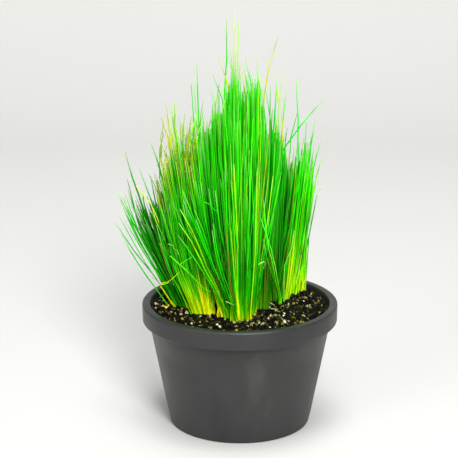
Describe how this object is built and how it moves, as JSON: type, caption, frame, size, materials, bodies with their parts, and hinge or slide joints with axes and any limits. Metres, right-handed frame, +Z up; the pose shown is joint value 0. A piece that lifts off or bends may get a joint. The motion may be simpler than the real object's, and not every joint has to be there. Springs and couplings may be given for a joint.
{
  "type": "potted hairgrass plant",
  "caption": "Dense upright clump of thread-thin green hairgrass stems growing in tufts from dark gravel in a plain round tapered pot.",
  "frame": {"origin": "middle of the pot's flat underside, on the surface that the pot stands on", "axes": "+Z up along the pot's axis; -Y towards the front, from which the clump was pictured; +X to the right seen from the front"},
  "size_m": [0.0799, 0.072, 0.1525],
  "materials": {
    "pot": "satin",
    "gravel": "matte",
    "green_stems": "satin",
    "lime_stems": "satin"
  },
  "bodies": {
    "root": {"pot": "pot", "gravel": "gravel", "tuft_01": "green_stems", "tuft_02": "green_stems", "tuft_03": "green_stems", "tuft_04": "green_stems", "tuft_05": "green_stems", "tuft_06": "green_stems", "tuft_07": "green_stems", "tuft_08": "green_stems", "tuft_09": "green_stems", "tuft_10": "green_stems", "tuft_11": "green_stems", "tuft_12": "green_stems", "tuft_13": "green_stems", "tuft_14": "green_stems", "tuft_15": "green_stems", "tuft_16": "green_stems", "tuft_17": "green_stems", "tuft_18": "green_stems", "tuft_19": "green_stems", "tuft_20": "green_stems", "tuft_21": "green_stems", "tuft_22": "green_stems", "tuft_23": "green_stems", "tuft_24": "green_stems", "tuft_25": "green_stems", "tuft_26": "green_stems", "tuft_27": "green_stems", "tuft_28": "green_stems", "tuft_29": "green_stems", "tuft_30": "lime_stems", "tuft_31": "green_stems", "tuft_32": "green_stems", "tuft_33": "green_stems", "tuft_34": "green_stems", "tuft_35": "lime_stems", "tuft_36": "green_stems", "tuft_37": "green_stems", "tuft_38": "lime_stems", "tuft_39": "green_stems", "tuft_40": "lime_stems", "tuft_41": "lime_stems"}
  },
  "joints": []
}
